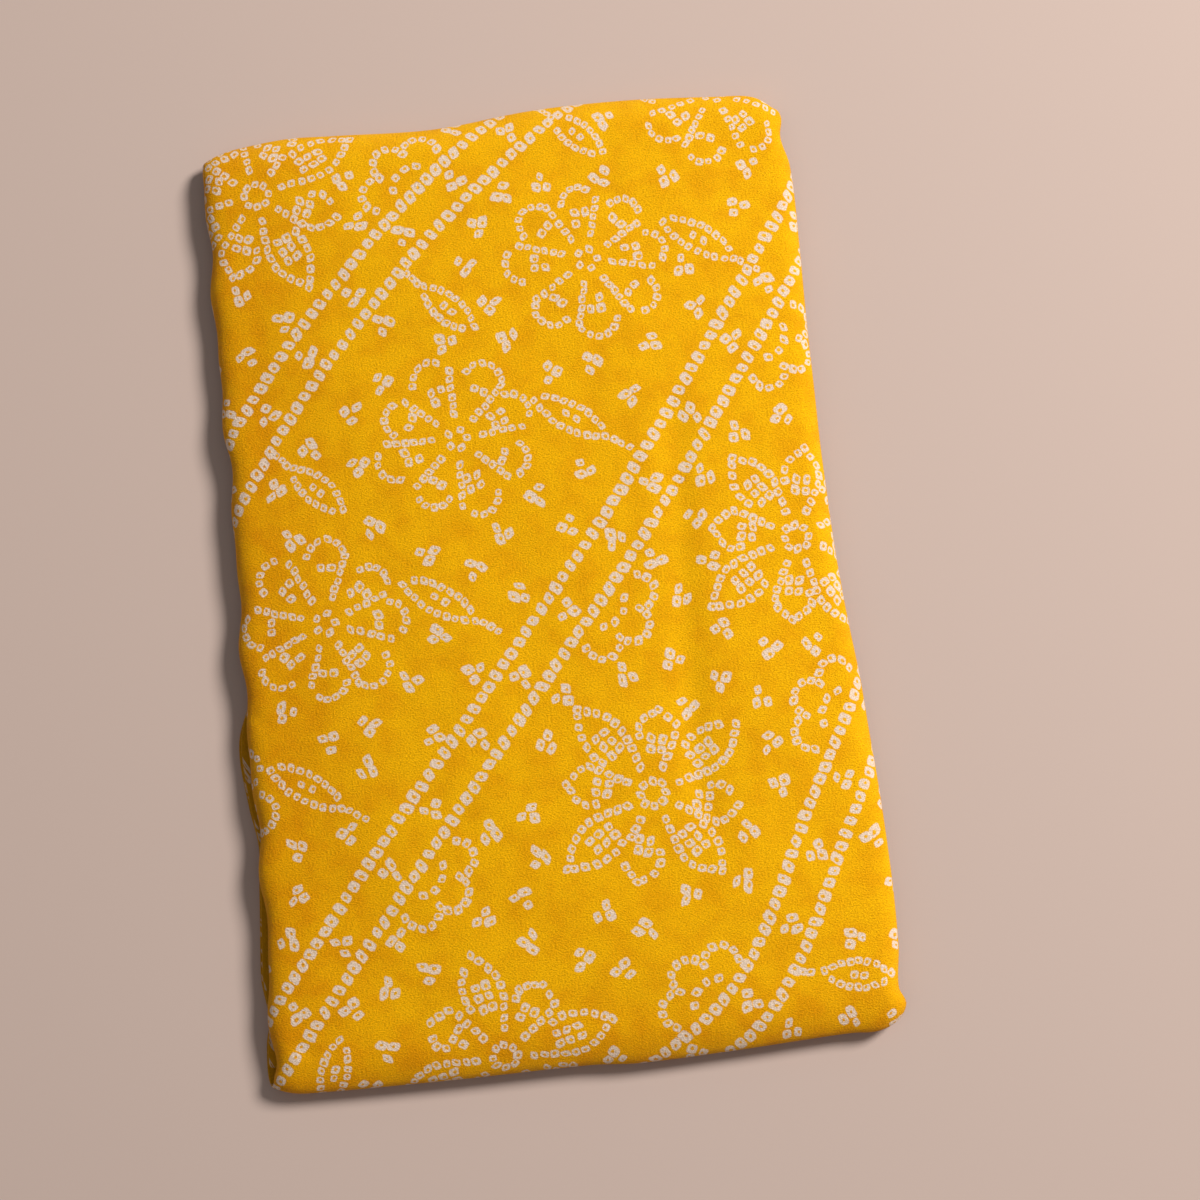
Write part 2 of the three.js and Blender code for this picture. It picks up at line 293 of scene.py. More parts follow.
def place_along(station, end_of):
    """Place along the stack, between a station's two ends or inset from one."""
    stop = end_of(station["to"]) + INWARD[station["to"]] * station["stop"]
    if not station.get("from_end"):
        return stop
    start = end_of(station["from_end"]) + INWARD[station["from_end"]] * station["start"]
    return mix(start, stop, station["at"])


def waviness(station, y):
    out = max(GROUND_PATCH["front"] - y, y - GROUND_PATCH["back"])
    return max(smooth(station["level"]), smooth(out / GROUND_PATCH["fade"]))


def side_x(station, side, y):
    inset = layer_value(side, station)
    if side == "right":
        return edge_at(RIGHT_EDGE, y) - inset
    edge = edge_at(LEFT_EDGE, y) + inset - layer_value("peek", station) * edge_at(PEEK_SPAN, y)
    top_share = smooth(station["level"] - TOP + 1)
    for length, reach, phase in LEFT_WAVES:
        edge = edge + reach * top_share * np.sin(2 * math.pi * y / length + phase)
    return edge


def ground_lift(station, x, y):
    out = np.abs(x) - GROUND_PATCH["half_x"]
    out = np.maximum(np.maximum(out, GROUND_PATCH["front"] - y), y - GROUND_PATCH["back"])
    fade = 1 - smooth(station["level"] / GROUND_LIFT["levels"])
    return GROUND_LIFT["height"] * clamp01(out / GROUND_LIFT["reach"]) * fade


def cloth_row(station, across):
    """Middle points of the cloth at a station, for fractions of the strip's half width."""
    nominal = across * STACK_WIDTH / 2
    straight_y = place_along(station, straight_end)
    wavy = waviness(station, straight_y)
    y = mix(straight_y, place_along(station, lambda end: edge_at(END_EDGE[end], nominal)), wavy)
    left, right = side_x(station, "left", y), side_x(station, "right", y)
    share = GROUND_PATCH["share"]
    past = clamp01((np.abs(across) - share) / (1 - share))
    wave = np.where(across < 0, left + STACK_WIDTH / 2, right - STACK_WIDTH / 2)
    x = mix(nominal + past * wave, mix(left, right, (across + 1) / 2), wavy)
    to_edge = np.minimum(x - left, right - x)
    pitch = pitch_at(x, y)
    inward = INWARD[station["to"]]
    y = y - inward * station.get("bulge", 0) * pitch
    y = y + inward * station.get("pull", 0) * clamp01(1 - to_edge / CORNER_REACH) ** 2
    top_share = smooth(station["level"] - TOP + 1)
    hang = edge_droop(station, y) * edge_fall(to_edge)
    hang = hang + (crease_depth(x, y) + pinch_depth(x, y) - ripple_height(x, y)) * top_share
    z = THICKNESS / 2 + station["level"] * pitch - hang + ground_lift(station, x, y)
    return np.stack([x, y, z], axis=1)


def fine_columns():
    middle = np.linspace(-FINE_REACH, FINE_REACH, FINE_COLUMNS)
    edge = np.array(EDGE_COLUMNS)
    return np.concatenate([-edge[::-1], middle, edge])


def coarse_columns():
    even = EDGE_COLUMNS + INNER_COLUMNS
    values = set(even) | {-value for value in even} | set(CREASE_COLUMNS)
    return np.array(sorted(values))


def face_rows(stations, across_of):
    """Middle points and normals of one face, row by row. across_of gives each row's columns."""
    columns = [across_of(station) for station in stations]
    middles = [cloth_row(station, across) for station, across in zip(stations, columns)]
    normals = []
    last = len(stations) - 1
    for i, across in enumerate(columns):
        before = cloth_row(stations[max(i - 1, 0)], across)
        after = cloth_row(stations[min(i + 1, last)], across)
        over = np.gradient(middles[i], axis=0)
        normal = np.cross(over, after - before)
        normals.append(normal / np.linalg.norm(normal, axis=1, keepdims=True))
    return columns, middles, normals


def lengths_along(stations):
    """Q of every row at the coarse columns: arc length along the strip, 0 at the top's middle."""
    across = coarse_columns()
    rows = np.array([cloth_row(station, across) for station in stations])
    run = np.linalg.norm(np.diff(rows, axis=0), axis=2)
    q = np.concatenate([np.zeros((1, len(across))), np.cumsum(run, axis=0)])
    tops = [i for i, station in enumerate(stations) if station["level"] == TOP]
    for j in range(len(across)):
        y = rows[tops, j, 1]
        q[:, j] -= np.interp(0.0, y, q[tops, j])
    return across, q


def length_across(row):
    """P of one row: arc length across the strip, with its zero where X is zero."""
    run = np.concatenate([[0.0], np.cumsum(np.linalg.norm(np.diff(row, axis=0), axis=1))])
    return run - np.interp(0.0, row[:, 0], run)


# Printed dots. A dot is (p, q, half length, half width, angle, seed), with its length at that angle
# from +P. Motifs are drawn by rule from a few sizes, in millimetres and degrees.
REPEAT = 466.0
LINE_DOT = {"length": 4.4, "width": 5.6, "pitch": 6.0, "style": 0}
ROUND_DOT = {"length": 3.4, "width": 3.4, "pitch": 4.3, "style": 1}
STAR_DOT = {"length": 3.7, "width": 3.7, "pitch": 4.7, "style": 1}
LEAF_DOT = {"length": 3.4, "width": 3.4, "pitch": 4.2, "style": 1}
BUD_DOT = {"length": 3.7, "width": 3.8, "pitch": 4.7, "style": 1}
INNER_DOT = {"length": 4.1, "width": 3.9, "style": 1}
TRIAD_DOT = {"length": 5.2, "width": 4.3, "style": 0}
FADE_FROM_TOP = 256.0
PRINT_HALF_WIDTH = 150.0
SEED_SHARE = 0.999

# Double lines: the run of each, the side its buds grow to, and how far along the first one is
LINES = [
    {
        "course": [(150, 172), (56, 39), (-3, -34), (-76, -122), (-150, -214)],
        "bud_side": 1, "first_bud": 78,
    },
    {
        "course": [(-150, 42), (-104, 105), (-38, 175), (22, 225), (82, 274), (142, 386)],
        "bud_side": 1, "first_bud": 183,
    },
    {
        "course": [(155, -58), (122, -116), (79, -195), (20, -243), (-38, -291), (-150, -424)],
        "bud_side": -1, "first_bud": 28,
    },
]
LINE_HALF_GAP = 10.0
BUD_STEP = 146.0
CLUSTER_STEP = 36.0

# Flowers stand in slanting chains: place of the first, step to the next, and number
ROUND_CHAIN = {"first": (105, 224), "step": (-68, -78.5), "count": 5}
STAR_CHAIN = {"first": (119, 6), "step": (-78, -110), "count": 3}
LONE_STAR = (-114, 194)

# Leaves: tip and end of the stalk, from the middle of each round flower, and two on their own
FLOWER_LEAVES = [((36, 16), (78, -12)), ((13, 50), (-16, 80))]
LONE_LEAVES = [((140, -196), (99, -190)), ((-108, -198), (-122, -238))]
LEAF = {"body": 0.79, "half_width": 5.9, "inside": (0.34, 0.45)}

# Flowers of eight petals. Tuples hold the value of the odd and of the even petals.
ROUND_FLOWER = {
    "petals": 8, "half_turn": 16.0, "ring": 4.6, "ring_dots": 5, "start": 12.0,
    "base": 30.5, "peak": 36.5, "inside": (4, 2), "inside_at": (21.0, 24.0),
}
STAR_FLOWER = {
    "petals": 8, "half_turn": 16.5, "ring": 5.7, "ring_dots": 8, "start": 13.0,
    "shoulder": 30.5, "bend": 0.62, "reach": (49.0, 39.0),
    "inside": (6, 4), "inside_at": (29.0, 23.0),
}
BUD = {"lobes": 3, "from": 14.0, "to": 166.0, "base": 18.0, "peak": 26.0, "inside_at": 11.5, "inside": 4}
UNEVEN = {"turn": 4.0, "size": 0.07, "dot": 0.16, "dot_turn": 0.2, "place": 0.3, "cluster": 3.0}
CROWDED = 0.86

TRIAD_OFFSETS = [(-2.4, -2.2), (2.7, -1.8), (-1.0, 3.4)]
TRIAD_CLEAR = 8.6
TRIAD_APART = 18.5
TRIAD_TRIES = 4000
INNER_SPACING = (4.8, 5.1)


def turned_by(a, b, angle, centre):
    """The point a along an angle and b to its left, from a centre."""
    c, s = math.cos(angle), math.sin(angle)
    return centre[0] + a * c - b * s, centre[1] + a * s + b * c


def polar(centre, radius, degrees):
    return turned_by(radius, 0.0, math.radians(degrees), centre)


def curve_through(points, step=2.0):
    """A smooth curve through points, as closely spaced ones."""
    points = np.array(points, float)
    padded = np.vstack([2 * points[0] - points[1], points, 2 * points[-1] - points[-2]])
    dense = []
    for a, b, c, d in zip(padded, padded[1:], padded[2:], padded[3:]):
        count = max(int(np.hypot(*(c - b)) / step), 1)
        for t in np.arange(count) / count:
            square, cube = (2 * a - 5 * b + 4 * c - d) * t * t, (3 * b - a - 3 * c + d) * t ** 3
            dense.append(0.5 * (2 * b + (c - a) * t + square + cube))
    dense.append(points[-1])
    return np.array(dense)


class Course:
    """A line of closely spaced points, read by the distance along it."""

    def __init__(self, points):
        self.points = np.array(points, float)
        steps = np.diff(self.points, axis=0)
        self.run = np.concatenate([[0.0], np.cumsum(np.hypot(*steps.T))])
        self.length = self.run[-1]

    def at(self, distance):
        return np.array([np.interp(distance, self.run, self.points[:, k]) for k in (0, 1)])

    def direction(self, distance, span=2.0):
        ahead = self.at(min(distance + span, self.length)) - self.at(max(distance - span, 0))
        return math.atan2(ahead[1], ahead[0])

    def beside(self, distance, offset):
        return turned_by(0.0, offset, self.direction(distance), self.at(distance))


class Print:
    """Collects dots, with small seeded differences in size, place and turn.

    The last value of a dot is its style plus a seed below 1: style 0 has a small hole, 1 a large one.
    """

    def __init__(self, seed):
        self.random = random.Random(seed)
        self.dots = []

    def dot(self, p, q, angle, shape, scale=1.0):
        vary = self.random.uniform
        low, high = scale * (1 - UNEVEN["dot"]), scale * (1 + UNEVEN["dot"])
        self.dots.append((
            p + vary(-UNEVEN["place"], UNEVEN["place"]), q + vary(-UNEVEN["place"], UNEVEN["place"]),
            shape["length"] / 2 * vary(low, high), shape["width"] / 2 * vary(low, high),
            angle + vary(-UNEVEN["dot_turn"], UNEVEN["dot_turn"]),
            shape["style"] + SEED_SHARE * self.random.random(),
        ))

    def along(self, points, shape):
        """Dots at an even pitch along a line of points, each turned with the line."""
        course = Course(points)
        count = max(round(course.length / shape["pitch"]), 1)
        for distance in np.linspace(0, course.length, count + 1):
            p, q = course.at(distance)
            self.dot(p, q, course.direction(distance, shape["pitch"] / 2), shape)

    def block(self, centre, angle, count):
        """A few dots packed in pairs, in rows along the angle."""
        step_across, step_along = INNER_SPACING
        rows = (count + 1) // 2
        for k in range(count):
            row, side = divmod(k, 2)
            along = (row - (rows - 1) / 2) * step_along
            self.dot(*turned_by(along, (side - 0.5) * step_across, angle, centre), angle, INNER_DOT)

    def ring(self, centre, flower, shape):
        for k in range(flower["ring_dots"]):
            turn = 360 * k / flower["ring_dots"]
            self.dot(*polar(centre, flower["ring"], turn), math.radians(turn), shape)

    def petals(self, flower):
        """Number, middle angle and growth of each petal, all a little uneven."""
        first = self.random.uniform(0, 360 / flower["petals"])
        for k in range(flower["petals"]):
            turn = first + 360 * k / flower["petals"] + self.random.uniform(-1, 1) * UNEVEN["turn"]
            yield k, turn, 1 + self.random.uniform(-1, 1) * UNEVEN["size"]


def round_flower(made, centre):
    """Rounded lobes round a ring, each with a row of dots from the middle along one side."""
    made.ring(centre, ROUND_FLOWER, ROUND_DOT)
    half = ROUND_FLOWER["half_turn"]
    for k, middle, grow in made.petals(ROUND_FLOWER):
        base, peak = ROUND_FLOWER["base"] * grow, ROUND_FLOWER["peak"] * grow
        side = middle - half
        made.along([polar(centre, r, side) for r in (ROUND_FLOWER["start"], base)], ROUND_DOT)
        lobe = []
        for t in np.linspace(0.08, 1, 24):
            swell = math.sin(math.pi * t) ** 0.7
            lobe.append(polar(centre, mix(base, peak, swell), mix(side, middle + half, t)))
        made.along(lobe, ROUND_DOT)
        inside_at = polar(centre, ROUND_FLOWER["inside_at"][k % 2] * grow, middle)
        made.block(inside_at, math.radians(middle), ROUND_FLOWER["inside"][k % 2])


def star_flower(made, centre):
    """Pointed petals, long and short in turn, round a ring."""
    made.ring(centre, STAR_FLOWER, STAR_DOT)
    half, shoulder = STAR_FLOWER["half_turn"], STAR_FLOWER["shoulder"]
    for k, middle, grow in made.petals(STAR_FLOWER):
        reach = STAR_FLOWER["reach"][k % 2] * grow
        tip = polar(centre, reach, middle)
        for side, root in ((-1, STAR_FLOWER["start"]), (1, shoulder - 4)):
            wide, narrow = middle + side * half, middle + side * half * STAR_FLOWER["bend"]
            bend = polar(centre, mix(shoulder, reach, 0.5), narrow)
            path = [polar(centre, root, wide), polar(centre, shoulder, wide), bend, tip]
            outline = curve_through(path, 1.0)
            made.along(outline if side < 0 else outline[:-3], STAR_DOT)
        inside_at = polar(centre, STAR_FLOWER["inside_at"][k % 2] * grow, middle)
        made.block(inside_at, math.radians(middle), STAR_FLOWER["inside"][k % 2])


def leaf(made, tip, stem):
    """Two arcs from the tip that meet at the stalk, two dots inside, and the stalk."""
    length = math.hypot(stem[0] - tip[0], stem[1] - tip[1])
    turn = math.atan2(stem[1] - tip[1], stem[0] - tip[0])
    for side in (-1, 1):
        arc = []
        for t in np.linspace(0.04, 0.97, 20):
            out = side * LEAF["half_width"] * math.sin(math.pi * t) ** 0.8
            arc.append(turned_by(length * LEAF["body"] * t, out, turn, tip))
        made.along(arc, LEAF_DOT)
    for share in LEAF["inside"]:
        made.dot(*turned_by(length * share, 0.3, turn, tip), turn, LEAF_DOT)
    made.along([turned_by(length * t, 0, turn, tip) for t in (0.84, 1.0)], LEAF_DOT)


def bud(made, root, line_angle, side):
    """Half a flower that grows out of a line: lobes in a fan, open at the line."""
    line_degrees = math.degrees(line_angle)
    outline = []
    for t in np.linspace(0.03, 0.97, 60):
        swell = abs(math.sin(math.pi * BUD["lobes"] * t)) ** 0.6
        fan = line_degrees + side * mix(BUD["from"], BUD["to"], t)
        outline.append(polar(root, mix(BUD["base"], BUD["peak"], swell), fan))
    made.along(outline, BUD_DOT)
    for t in np.linspace(0.2, 0.8, BUD["inside"]):
        fan = line_degrees + side * mix(BUD["from"], BUD["to"], t)
        made.dot(*polar(root, BUD["inside_at"], fan), math.radians(fan), BUD_DOT)


def triad(made, p, q):
    angle = math.radians(made.random.uniform(0, 360))
    lean = made.random.choice([0.0, math.pi / 2])
    for k, (a, b) in enumerate(TRIAD_OFFSETS):
        made.dot(*turned_by(a, b, angle, (p, q)), angle + lean, TRIAD_DOT, 1.04 - 0.1 * k)


def double_line(lines, motifs, line):
    """Two rows of dots, groups of three between them, and buds along one side."""
    course = Course(curve_through(line["course"]))
    for side in (-1, 1):
        row = [course.beside(at, side * LINE_HALF_GAP) for at in np.arange(0, course.length, 2.0)]
        lines.along(row, LINE_DOT)
    for at in np.arange(line["first_bud"], course.length, BUD_STEP):
        root = course.beside(at, line["bud_side"] * LINE_HALF_GAP)
        bud(motifs, root, course.direction(at), line["bud_side"])
    for at in np.arange(CLUSTER_STEP / 2, course.length, CLUSTER_STEP):
        shift = motifs.random.uniform(-UNEVEN["cluster"], UNEVEN["cluster"])
        triad(motifs, *course.at(at + shift))


def loose_triads(made, taken):
    """Groups of three scattered over the open ground, clear of all else and of each other."""
    kept = []
    for _ in range(TRIAD_TRIES):
        p = made.random.uniform(-PRINT_HALF_WIDTH, PRINT_HALF_WIDTH)
        q = made.random.uniform(-FADE_FROM_TOP, FADE_FROM_TOP)
        clear = np.hypot(taken[:, 0] - p, taken[:, 1] - q).min() > TRIAD_CLEAR
        if clear and all(math.hypot(p - a, q - b) > TRIAD_APART for a, b in kept):
            kept.append((p, q))
            triad(made, p, q)


def chain_places(chain):
    (p, q), (step_p, step_q) = chain["first"], chain["step"]
    return [(p + k * step_p, q + k * step_q) for k in range(chain["count"])]


def one_repeat():
    """Dots of one repeat: those of the lines, which come first, and those of the motifs."""
    lines, motifs, loose = Print(5), Print(11), Print(23)
    for line in LINES:
        double_line(lines, motifs, line)
    for p, q in chain_places(ROUND_CHAIN):
        round_flower(motifs, (p, q))
        for tip, stem in FLOWER_LEAVES:
            leaf(motifs, (p + tip[0], q + tip[1]), (p + stem[0], q + stem[1]))
    for centre in [*chain_places(STAR_CHAIN), LONE_STAR]:
        star_flower(motifs, centre)
    for tip, stem in LONE_LEAVES:
        leaf(motifs, tip, stem)
    taken = [dot[:2] for dot in lines.dots + motifs.dots]
    taken += [tuple(spot) for line in LINES for spot in curve_through(line["course"])]
    loose_triads(loose, np.array(taken))
    return lines.dots + motifs.dots + loose.dots


def without_crowding(dots):
    """Leaves out a dot that would lie on one before it."""
    kept = []
    places = np.empty((0, 2))
    for dot in dots:
        gap = np.hypot(places[:, 0] - dot[0], places[:, 1] - dot[1])
        if not len(gap) or gap.min() > CROWDED * (dot[2] + dot[3]):
            kept.append(dot)
            places = np.vstack([places, dot[:2]])
    return kept


def all_dots(q_low, q_high):
    """The dots of the top layer, and copies of the repeat along the rest of the strip."""
    chosen = without_crowding(one_repeat())
    dots = [dot for dot in chosen if abs(dot[1]) < FADE_FROM_TOP + 40]
    for k in range(math.floor(q_low / REPEAT) - 1, math.ceil(q_high / REPEAT) + 2):
        if k == 0:
            continue
        for dot in chosen:
            q = dot[1] + k * REPEAT
            if abs(q) > FADE_FROM_TOP and q_low - 10 < q < q_high + 10:
                dots.append((dot[0], q, *dot[2:]))
    return without_crowding(dots)


# Mesh of the cloth. Every face is kept with the name of the patch of the bake map it goes to.
RIM_BULGE = 0.35
PATCH_SIDES = {"outer": 1.0, "rim": 0.5, "inner": 0.0}


def zipper(row_a, at_a, row_b, at_b):
    """Faces between two rows of vertices whose columns lie at different places."""
    if len(row_a) == len(row_b):
        return [
            (row_a[j], row_a[j + 1], row_b[j + 1], row_b[j]) for j in range(len(row_a) - 1)
        ]
    faces = []
    i = j = 0
    while i < len(row_a) - 1 or j < len(row_b) - 1:
        a_next = at_a[i + 1] if i < len(row_a) - 1 else math.inf
        b_next = at_b[j + 1] if j < len(row_b) - 1 else math.inf
        if a_next <= b_next:
            faces.append((row_a[i], row_a[i + 1], row_b[j]))
            i += 1
        else:
            faces.append((row_a[i], row_b[j + 1], row_b[j]))
            j += 1
    return faces


class Sheet:
    """Vertices with their flat places, and faces with the patch each belongs to."""

    def __init__(self):
        self.points, self.flat = [], []
        self.faces, self.patches = [], []
        self.count = 0

    def add_points(self, points, p, q, side):
        first = self.count
        self.points.append(points)
        self.flat.append(np.stack([p, q, np.full(len(points), PATCH_SIDES[side])], axis=1))
        self.count += len(points)
        return list(range(first, self.count))

    def add_faces(self, faces, patch):
        self.faces += faces
        self.patches += [patch] * len(faces)


def patch_of(station, side):
    """Its group for the finely printed faces, and its layer for the rest."""
    if side == "outer" and station["group"] != "core":
        return f"outer_{station['group']}"
    name = station["group"] if station["group"] != "core" else str(station["above"])
    return f"{side}_{name}"


def cloth_sheet():
    """The closed sheet: outer face, inner face, and a rounded rim along its edges."""
    stations = strip_stations()
    fine, coarse = fine_columns(), coarse_columns()
    outer_at, outer_mid, outer_normal = face_rows(
        stations, lambda station: coarse if station["group"] == "core" else fine
    )
    inner_at, inner_mid, inner_normal = face_rows(stations, lambda station: coarse)
    q_at, q_rows = lengths_along(stations)
    sheet = Sheet()
    outer, inner, rims = [], [], {0: [], -1: []}
    for i in range(len(stations)):
        p = length_across(outer_mid[i])
        q = np.interp(outer_at[i], q_at, q_rows[i])
        outer.append(sheet.add_points(outer_mid[i] + outer_normal[i] * THICKNESS / 2, p, q, "outer"))
        p_in = np.interp(inner_at[i], outer_at[i], p)
        q_in = np.interp(inner_at[i], q_at, q_rows[i])
        inner.append(sheet.add_points(inner_mid[i] - inner_normal[i] * THICKNESS / 2, p_in, q_in, "inner"))
        for end, step in ((0, 1), (-1, -2)):
            edge, next_in = outer_mid[i][end], outer_mid[i][step]
            out = (edge - next_in) / np.linalg.norm(edge - next_in)
            rims[end] += sheet.add_points((edge + out * RIM_BULGE)[None], p[[end]], q[[end]], "rim")
    for i in range(len(stations) - 1):
        sheet.add_faces(
            zipper(outer[i], outer_at[i], outer[i + 1], outer_at[i + 1]),
            patch_of(stations[i], "outer"),
        )
        sheet.add_faces(
            [face[::-1] for face in zipper(inner[i], inner_at[i], inner[i + 1], inner_at[i + 1])],
            patch_of(stations[i], "inner"),
        )
        left, right = rims[0], rims[-1]
        sheet.add_faces([
            (outer[i][0], outer[i + 1][0], left[i + 1], left[i]),
            (left[i], left[i + 1], inner[i + 1][0], inner[i][0]),
        ], "rim_left")
        sheet.add_faces([
            (outer[i + 1][-1], outer[i][-1], right[i], right[i + 1]),
            (right[i + 1], right[i], inner[i][-1], inner[i + 1][-1]),
        ], "rim_right")
    close_ends(sheet, outer, outer_at, inner, inner_at, rims)
    return sheet


def close_ends(sheet, outer, outer_at, inner, inner_at, rims):
    first = zipper(inner[0], inner_at[0], outer[0], outer_at[0])
    first.append((outer[0][0], rims[0][0], inner[0][0]))
    first.append((rims[-1][0], outer[0][-1], inner[0][-1]))
    last = zipper(outer[-1], outer_at[-1], inner[-1], inner_at[-1])
    last.append((rims[0][-1], outer[-1][0], inner[-1][0]))
    last.append((outer[-1][-1], rims[-1][-1], inner[-1][-1]))
    sheet.add_faces(first + last, "ends")


# Places of the patches on the bake map: left, right, low, high
def bake_map():
    places = {
        "outer_top": (0.004, 0.524, 0.004, 0.996),
        "outer_ground": (0.535, 0.775, 0.004, 0.364),
        "rim_left": (0.9885, 0.9925, 0.004, 0.9),
        "rim_right": (0.9945, 0.9985, 0.004, 0.9),
        "ends": (0.9885, 0.9985, 0.91, 0.996),
    }
    small = [f"outer_{k}" for k in range(TOP - 1, 0, -1)]
    small += [f"inner_{k}" for k in range(TOP - 1, 0, -1)] + ["inner_ground", "inner_top"]
    for k, name in enumerate(small):
        if k < 9:
            column, row = k % 3, k // 3
            left, low = 0.535 + column * 0.151, 0.376 + row * 0.2075
            places[name] = (left, left + 0.143, low, low + 0.2)
        else:
            column, row = (k - 9) % 2, (k - 9) // 2
            left, low = 0.785 + column * 0.1005, 0.004 + row * 0.184
            places[name] = (left, left + 0.094, low, low + 0.176)
    return places


def bake_coordinates(flat, loop_vertex, loop_patch, names):
    """Map coordinates of every corner: each patch's flat box, fitted to its place."""
    uv = np.zeros((len(loop_vertex), 2))
    places = bake_map()
    for k, name in enumerate(names):
        mine = loop_patch == k
        spots = flat[loop_vertex[mine]]
        if name.startswith("rim"):
            spots = spots[:, [2, 1]].copy()
            spots[:, 0] = np.abs(spots[:, 0] - (0.0 if name == "rim_left" else 1.0))
        elif name == "ends":
            spots = spots[:, [0, 2]] + spots[:, [1, 1]] * [0.0, 0.002]
        else:
            spots = spots[:, :2]
        low, high = spots.min(axis=0), spots.max(axis=0)
        left, right, bottom, top = places[name]
        share = (spots - low) / (high - low)
        uv[mine] = share * [right - left, top - bottom] + [left, bottom]
    return uv


# Up to four near dots of a face are kept at its corners, each as the corner's place inside the
# dot (-1 to 1 along its length and width) and the dot's seed. Large faces stay plain.
DOT_SLOTS = 4
DOT_FAR = (9.0, 9.0, 0.0)
PRINTED_FACE_LIMIT = 8.45
DOT_MARGIN = 1.25 * 1.42


def corner_dots(flat, faces, patches, loop_vertex, loop_start, dots):
    dots = np.array(dots)
    tree = kdtree.KDTree(len(dots))
    for k, dot in enumerate(dots):
        tree.insert((dot[0], dot[1], 0), k)
    tree.balance()
    reach = DOT_MARGIN * np.maximum(dots[:, 2], dots[:, 3])
    slots = np.tile(np.array(DOT_FAR), (DOT_SLOTS, len(loop_vertex), 1))
    found = np.full((DOT_SLOTS, len(loop_vertex)), -1)
    for f, face in enumerate(faces):
        if not patches[f].startswith(("outer", "inner")):
            continue
        spots = flat[list(face), :2]
        middle = spots.mean(axis=0)
        half = np.hypot(*(spots.max(axis=0) - spots.min(axis=0))) / 2
        if half > PRINTED_FACE_LIMIT / 2:
            continue
        start = loop_start[f]
        slot = 0
        for _, k, gap in tree.find_n((middle[0], middle[1], 0), DOT_SLOTS + 1):
            if slot < DOT_SLOTS and gap < reach[k] + half:
                found[slot, start:start + len(face)] = k
                slot += 1
    for slot in range(DOT_SLOTS):
        has = found[slot] >= 0
        dot = dots[found[slot][has]]
        offset = flat[loop_vertex[has], :2] - dot[:, :2]
        c, s = np.cos(dot[:, 4]), np.sin(dot[:, 4])
        slots[slot, has, 0] = (offset[:, 0] * c + offset[:, 1] * s) / dot[:, 2]
        slots[slot, has, 1] = (offset[:, 1] * c - offset[:, 0] * s) / dot[:, 3]
        slots[slot, has, 2] = dot[:, 5]
    return slots


def cloth_object():
    sheet = cloth_sheet()
    points, flat = np.vstack(sheet.points), np.vstack(sheet.flat)
    low, high = points.min(axis=0), points.max(axis=0)
    shift = np.array([(low[0] + high[0]) / 2, (low[1] + high[1]) / 2, low[2]])
    mesh = bpy.data.meshes.new("printed_cloth")
    mesh.from_pydata(((points - shift) * MM).tolist(), [], sheet.faces)
    loop_vertex = np.empty(len(mesh.loops), np.int32)
    mesh.loops.foreach_get("vertex_index", loop_vertex)
    loop_start = np.empty(len(mesh.polygons), np.int32)
    mesh.polygons.foreach_get("loop_start", loop_start)
    sizes = np.array([len(face) for face in sheet.faces])
    names = sorted(set(sheet.patches))
    face_patch = np.array([names.index(name) for name in sheet.patches])
    loop_patch = np.repeat(face_patch, sizes)

    uv = bake_coordinates(flat, loop_vertex, loop_patch, names)
    mesh.uv_layers.new(name="OFBake").data.foreach_set("uv", uv.ravel())
    place = mesh.attributes.new("flat_place", "FLOAT_VECTOR", "POINT")
    place.data.foreach_set("vector", flat.astype(np.float32).ravel())
    dots = all_dots(flat[:, 1].min(), flat[:, 1].max())
    slots = corner_dots(flat, sheet.faces, sheet.patches, loop_vertex, loop_start, dots)
    for k in range(DOT_SLOTS):
        layer = mesh.attributes.new(f"dot_{'abcd'[k]}", "FLOAT_VECTOR", "CORNER")
        layer.data.foreach_set("vector", slots[k].astype(np.float32).ravel())
    mesh.polygons.foreach_set("use_smooth", np.ones(len(mesh.polygons), bool))
    cloth = bpy.data.objects.new("printed_cloth", mesh)
    bpy.context.scene.collection.objects.link(cloth)
    return cloth


# Materials
GROUND = (0.90, 0.452, 0.0015)
# Deeper orange of the painted shade (left edge, front, soft patches), also given to the crepe's pits
SHADE_AND_PIT_ORANGE = (0.75, 0.29, 0.001)
REVERSE = (0.60, 0.27, 0.006)
DOT_COLOUR = (0.81, 0.645, 0.525)
SHINE = (1.0, 0.62, 0.12, 1.0)
GRAIN = {"stretch": (1.0, 1.5, 1.0), "scale": 1.05, "detail": 3.0, "roughness": 0.65}
GRAIN_VALUE = (0.8, 1.2)
GRAIN_BUMP = {"Strength": 0.9, "Distance": 0.0009}
# Painted shade: soft darker orange patches that stand for the shading of the cloth's gentle undulations
SHADE_MOTTLE = {"scale": 0.07, "detail": 3.0, "roughness": 0.6}
SHADE_MOTTLE_DEPTH = 0.55
PIT_DEPTH = 0.45
REVERSE_COVER = 0.75

# Painted shade: the ground is darkened to the deeper orange towards the left edge and the front, away from
# the key light: where it starts and ends, and how much
PAINTED_SHADE_LEFT = (-60.0, -136.0, 0.5)
PAINTED_SHADE_FRONT = (-180.0, -222.0, 0.5)


